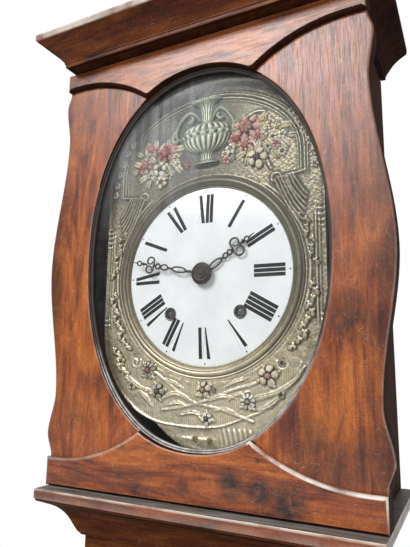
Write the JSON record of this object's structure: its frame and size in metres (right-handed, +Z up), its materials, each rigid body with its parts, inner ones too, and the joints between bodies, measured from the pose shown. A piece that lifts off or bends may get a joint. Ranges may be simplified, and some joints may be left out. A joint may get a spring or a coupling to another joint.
{
  "type": "longcase clock",
  "caption": "Tall comtoise longcase clock: swelled glazed hood door over a pressed brass dial, slim trunk with glazed door, iron cage movement, pendulum and weights.",
  "frame": {"origin": "on the floor, in the middle of the clock's width and depth", "axes": "+Z up the case, +X to the right seen from the front, +Y to the wall behind"},
  "size_m": [0.4868, 0.275, 2.2234],
  "materials": {
    "wood": "reddish-brown stain under worn satin varnish",
    "dark_wood": "dark aged board",
    "iron": "forged, dark",
    "weight_iron": "cast, rough",
    "steel": "worn bright",
    "brass": "aged",
    "pressed_brass": "pressed sheet, tarnished and tinted",
    "bronze": "blackened",
    "enamel": "white enamel, glossy",
    "glass": "clear old window glass",
    "cord": "twisted line"
  },
  "bodies": {
    "case": {"base_front": "wood", "base_left_side": "wood", "base_right_side": "wood", "base_moulding": "wood", "trunk_front_frame": "wood", "throat_moulding": "wood", "hood_top_board": "wood", "cornice": "wood", "trunk_left_side": "dark_wood", "trunk_right_side": "dark_wood", "trunk_back": "dark_wood", "hood_left_side": "dark_wood", "hood_right_side": "dark_wood", "hood_back": "dark_wood", "seat_board": "dark_wood", "cage_frame": "iron", "cage_top_plate": "iron", "front_going_bar": "iron", "front_strike_bar": "iron", "front_centre_bar": "iron", "rear_going_bar": "iron", "rear_strike_bar": "iron", "bell_post": "iron", "hood_pivot_upper": "iron", "hood_pivot_lower": "iron", "trunk_pivot_upper": "iron", "trunk_pivot_lower": "iron", "bell": "brass", "dial_surround": "pressed_brass", "dial": "enamel", "going_line": "cord", "strike_line": "cord"},
    "hood_door": {"hood_door_left_stile": "wood", "hood_door_right_stile": "wood", "hood_door_top_rail": "wood", "hood_door_bottom_rail": "wood", "hood_door_glass": "glass"},
    "trunk_door": {"trunk_door_frame": "wood", "trunk_door_glass": "glass"},
    "trunk_knob": {"trunk_door_knob": "brass"},
    "minute": {"hand_arbor": "steel", "minute_hand": "bronze"},
    "hour": {"hour_wheel": "brass", "hour_hand": "bronze"},
    "motion": {"motion_wheel": "brass"},
    "centre": {"centre_wheel": "brass"},
    "going_great": {"going_great_wheel": "brass"},
    "third": {"third_wheel": "brass"},
    "escape": {"escape_wheel": "brass"},
    "anchor": {"anchor": "steel"},
    "pendulum": {"pendulum_rod": "steel", "pendulum_bob": "brass"},
    "going_weight": {"going_weight": "weight_iron"},
    "going_barrel": {"going_barrel": "steel"},
    "strike_weight": {"strike_weight": "weight_iron"},
    "strike_barrel": {"strike_barrel": "steel"},
    "strike_great": {"strike_great_wheel": "brass"},
    "pins": {"pin_wheel": "brass"},
    "fly": {"fly": "steel"},
    "hammer": {"hammer": "iron"}
  },
  "joints": [
    {"name": "hood_door_swing", "type": "hinge", "parent": "case", "child": "hood_door", "pos_m": [-0.2135, -0.0675, 1.583], "axis": [0, 0, -1], "range_deg": [0, 90]},
    {"name": "trunk_door_swing", "type": "hinge", "parent": "case", "child": "trunk_door", "pos_m": [-0.1085, -0.0455, 0.5], "axis": [0, 0, -1], "range_deg": [0, 110]},
    {"name": "trunk_knob_turn", "type": "hinge", "parent": "trunk_door", "child": "trunk_knob", "pos_m": [0.10025, -0.0495, 0.985], "axis": [0, -1, 0], "range_deg": [0, 90]},
    {"name": "minute_turn", "type": "hinge", "parent": "case", "child": "minute", "pos_m": [0, 0, 1.86], "axis": [0, 1, 0], "continuous": true},
    {"name": "hour_turn", "type": "hinge", "parent": "case", "child": "hour", "pos_m": [0, 0, 1.86], "axis": [0, 1, 0], "continuous": true},
    {"name": "motion_turn", "type": "hinge", "parent": "case", "child": "motion", "pos_m": [0, 0, 1.832], "axis": [0, 1, 0], "continuous": true},
    {"name": "centre_turn", "type": "hinge", "parent": "case", "child": "centre", "pos_m": [0.04603, 0, 1.85534], "axis": [0, 1, 0], "continuous": true},
    {"name": "going_great_turn", "type": "hinge", "parent": "case", "child": "going_great", "pos_m": [0.05, 0, 1.81], "axis": [0, 1, 0], "continuous": true},
    {"name": "third_turn", "type": "hinge", "parent": "case", "child": "third", "pos_m": [0.04102, 0, 1.88187], "axis": [0, 1, 0], "continuous": true},
    {"name": "escape_turn", "type": "hinge", "parent": "case", "child": "escape", "pos_m": [0.03401, 0, 1.90372], "axis": [0, 1, 0], "continuous": true},
    {"name": "pendulum_swing", "type": "hinge", "parent": "case", "child": "pendulum", "pos_m": [0, 0.1055, 1.915], "axis": [0, 1, 0], "range_deg": [-3, 3]},
    {"name": "anchor_swing", "type": "hinge", "parent": "case", "child": "anchor", "pos_m": [0, 0, 1.915], "axis": [0, 1, 0], "range_deg": [-3, 3]},
    {"name": "going_weight_rise", "type": "slide", "parent": "case", "child": "going_weight", "axis": [0, 0, 1], "range_m": [0, 1.2], "deforming": ["going_line"]},
    {"name": "going_barrel_turn", "type": "hinge", "parent": "case", "child": "going_barrel", "pos_m": [0.05, 0, 1.81], "axis": [0, 1, 0], "range_deg": [-4436, 0]},
    {"name": "strike_weight_rise", "type": "slide", "parent": "case", "child": "strike_weight", "axis": [0, 0, 1], "range_m": [0, 1.2], "deforming": ["strike_line"]},
    {"name": "strike_barrel_turn", "type": "hinge", "parent": "case", "child": "strike_barrel", "pos_m": [-0.05, 0, 1.81], "axis": [0, 1, 0], "range_deg": [0, 4436]},
    {"name": "pin_wheel_turn", "type": "hinge", "parent": "case", "child": "pins", "pos_m": [-0.04603, 0, 1.85534], "axis": [0, 1, 0], "continuous": true},
    {"name": "strike_great_turn", "type": "hinge", "parent": "case", "child": "strike_great", "pos_m": [-0.05, 0, 1.81], "axis": [0, 1, 0], "continuous": true},
    {"name": "fly_turn", "type": "hinge", "parent": "case", "child": "fly", "pos_m": [-0.04102, 0, 1.88187], "axis": [0, 1, 0], "continuous": true},
    {"name": "hammer_swing", "type": "hinge", "parent": "case", "child": "hammer", "pos_m": [-0.07, 0, 1.92], "axis": [0, -1, 0], "range_deg": [0, 14], "stiffness_Nm_per_rad": 0.1, "springref_deg": -11.46}
  ],
  "couplings": [
    {"joint": "hour_turn", "follows": "minute_turn", "ratio": 0.083333},
    {"joint": "motion_turn", "follows": "minute_turn", "ratio": -0.33333},
    {"joint": "centre_turn", "follows": "minute_turn", "ratio": -1},
    {"joint": "going_great_turn", "follows": "minute_turn", "ratio": 0.083333},
    {"joint": "third_turn", "follows": "minute_turn", "ratio": 8},
    {"joint": "escape_turn", "follows": "minute_turn", "ratio": -60},
    {"joint": "anchor_swing", "follows": "pendulum_swing", "ratio": 1},
    {"joint": "going_barrel_turn", "follows": "going_weight_rise", "rad_per_m": -64.516},
    {"joint": "strike_barrel_turn", "follows": "strike_weight_rise", "rad_per_m": 64.516},
    {"joint": "strike_great_turn", "follows": "pin_wheel_turn", "ratio": -0.083333},
    {"joint": "fly_turn", "follows": "pin_wheel_turn", "ratio": -8}
  ]
}
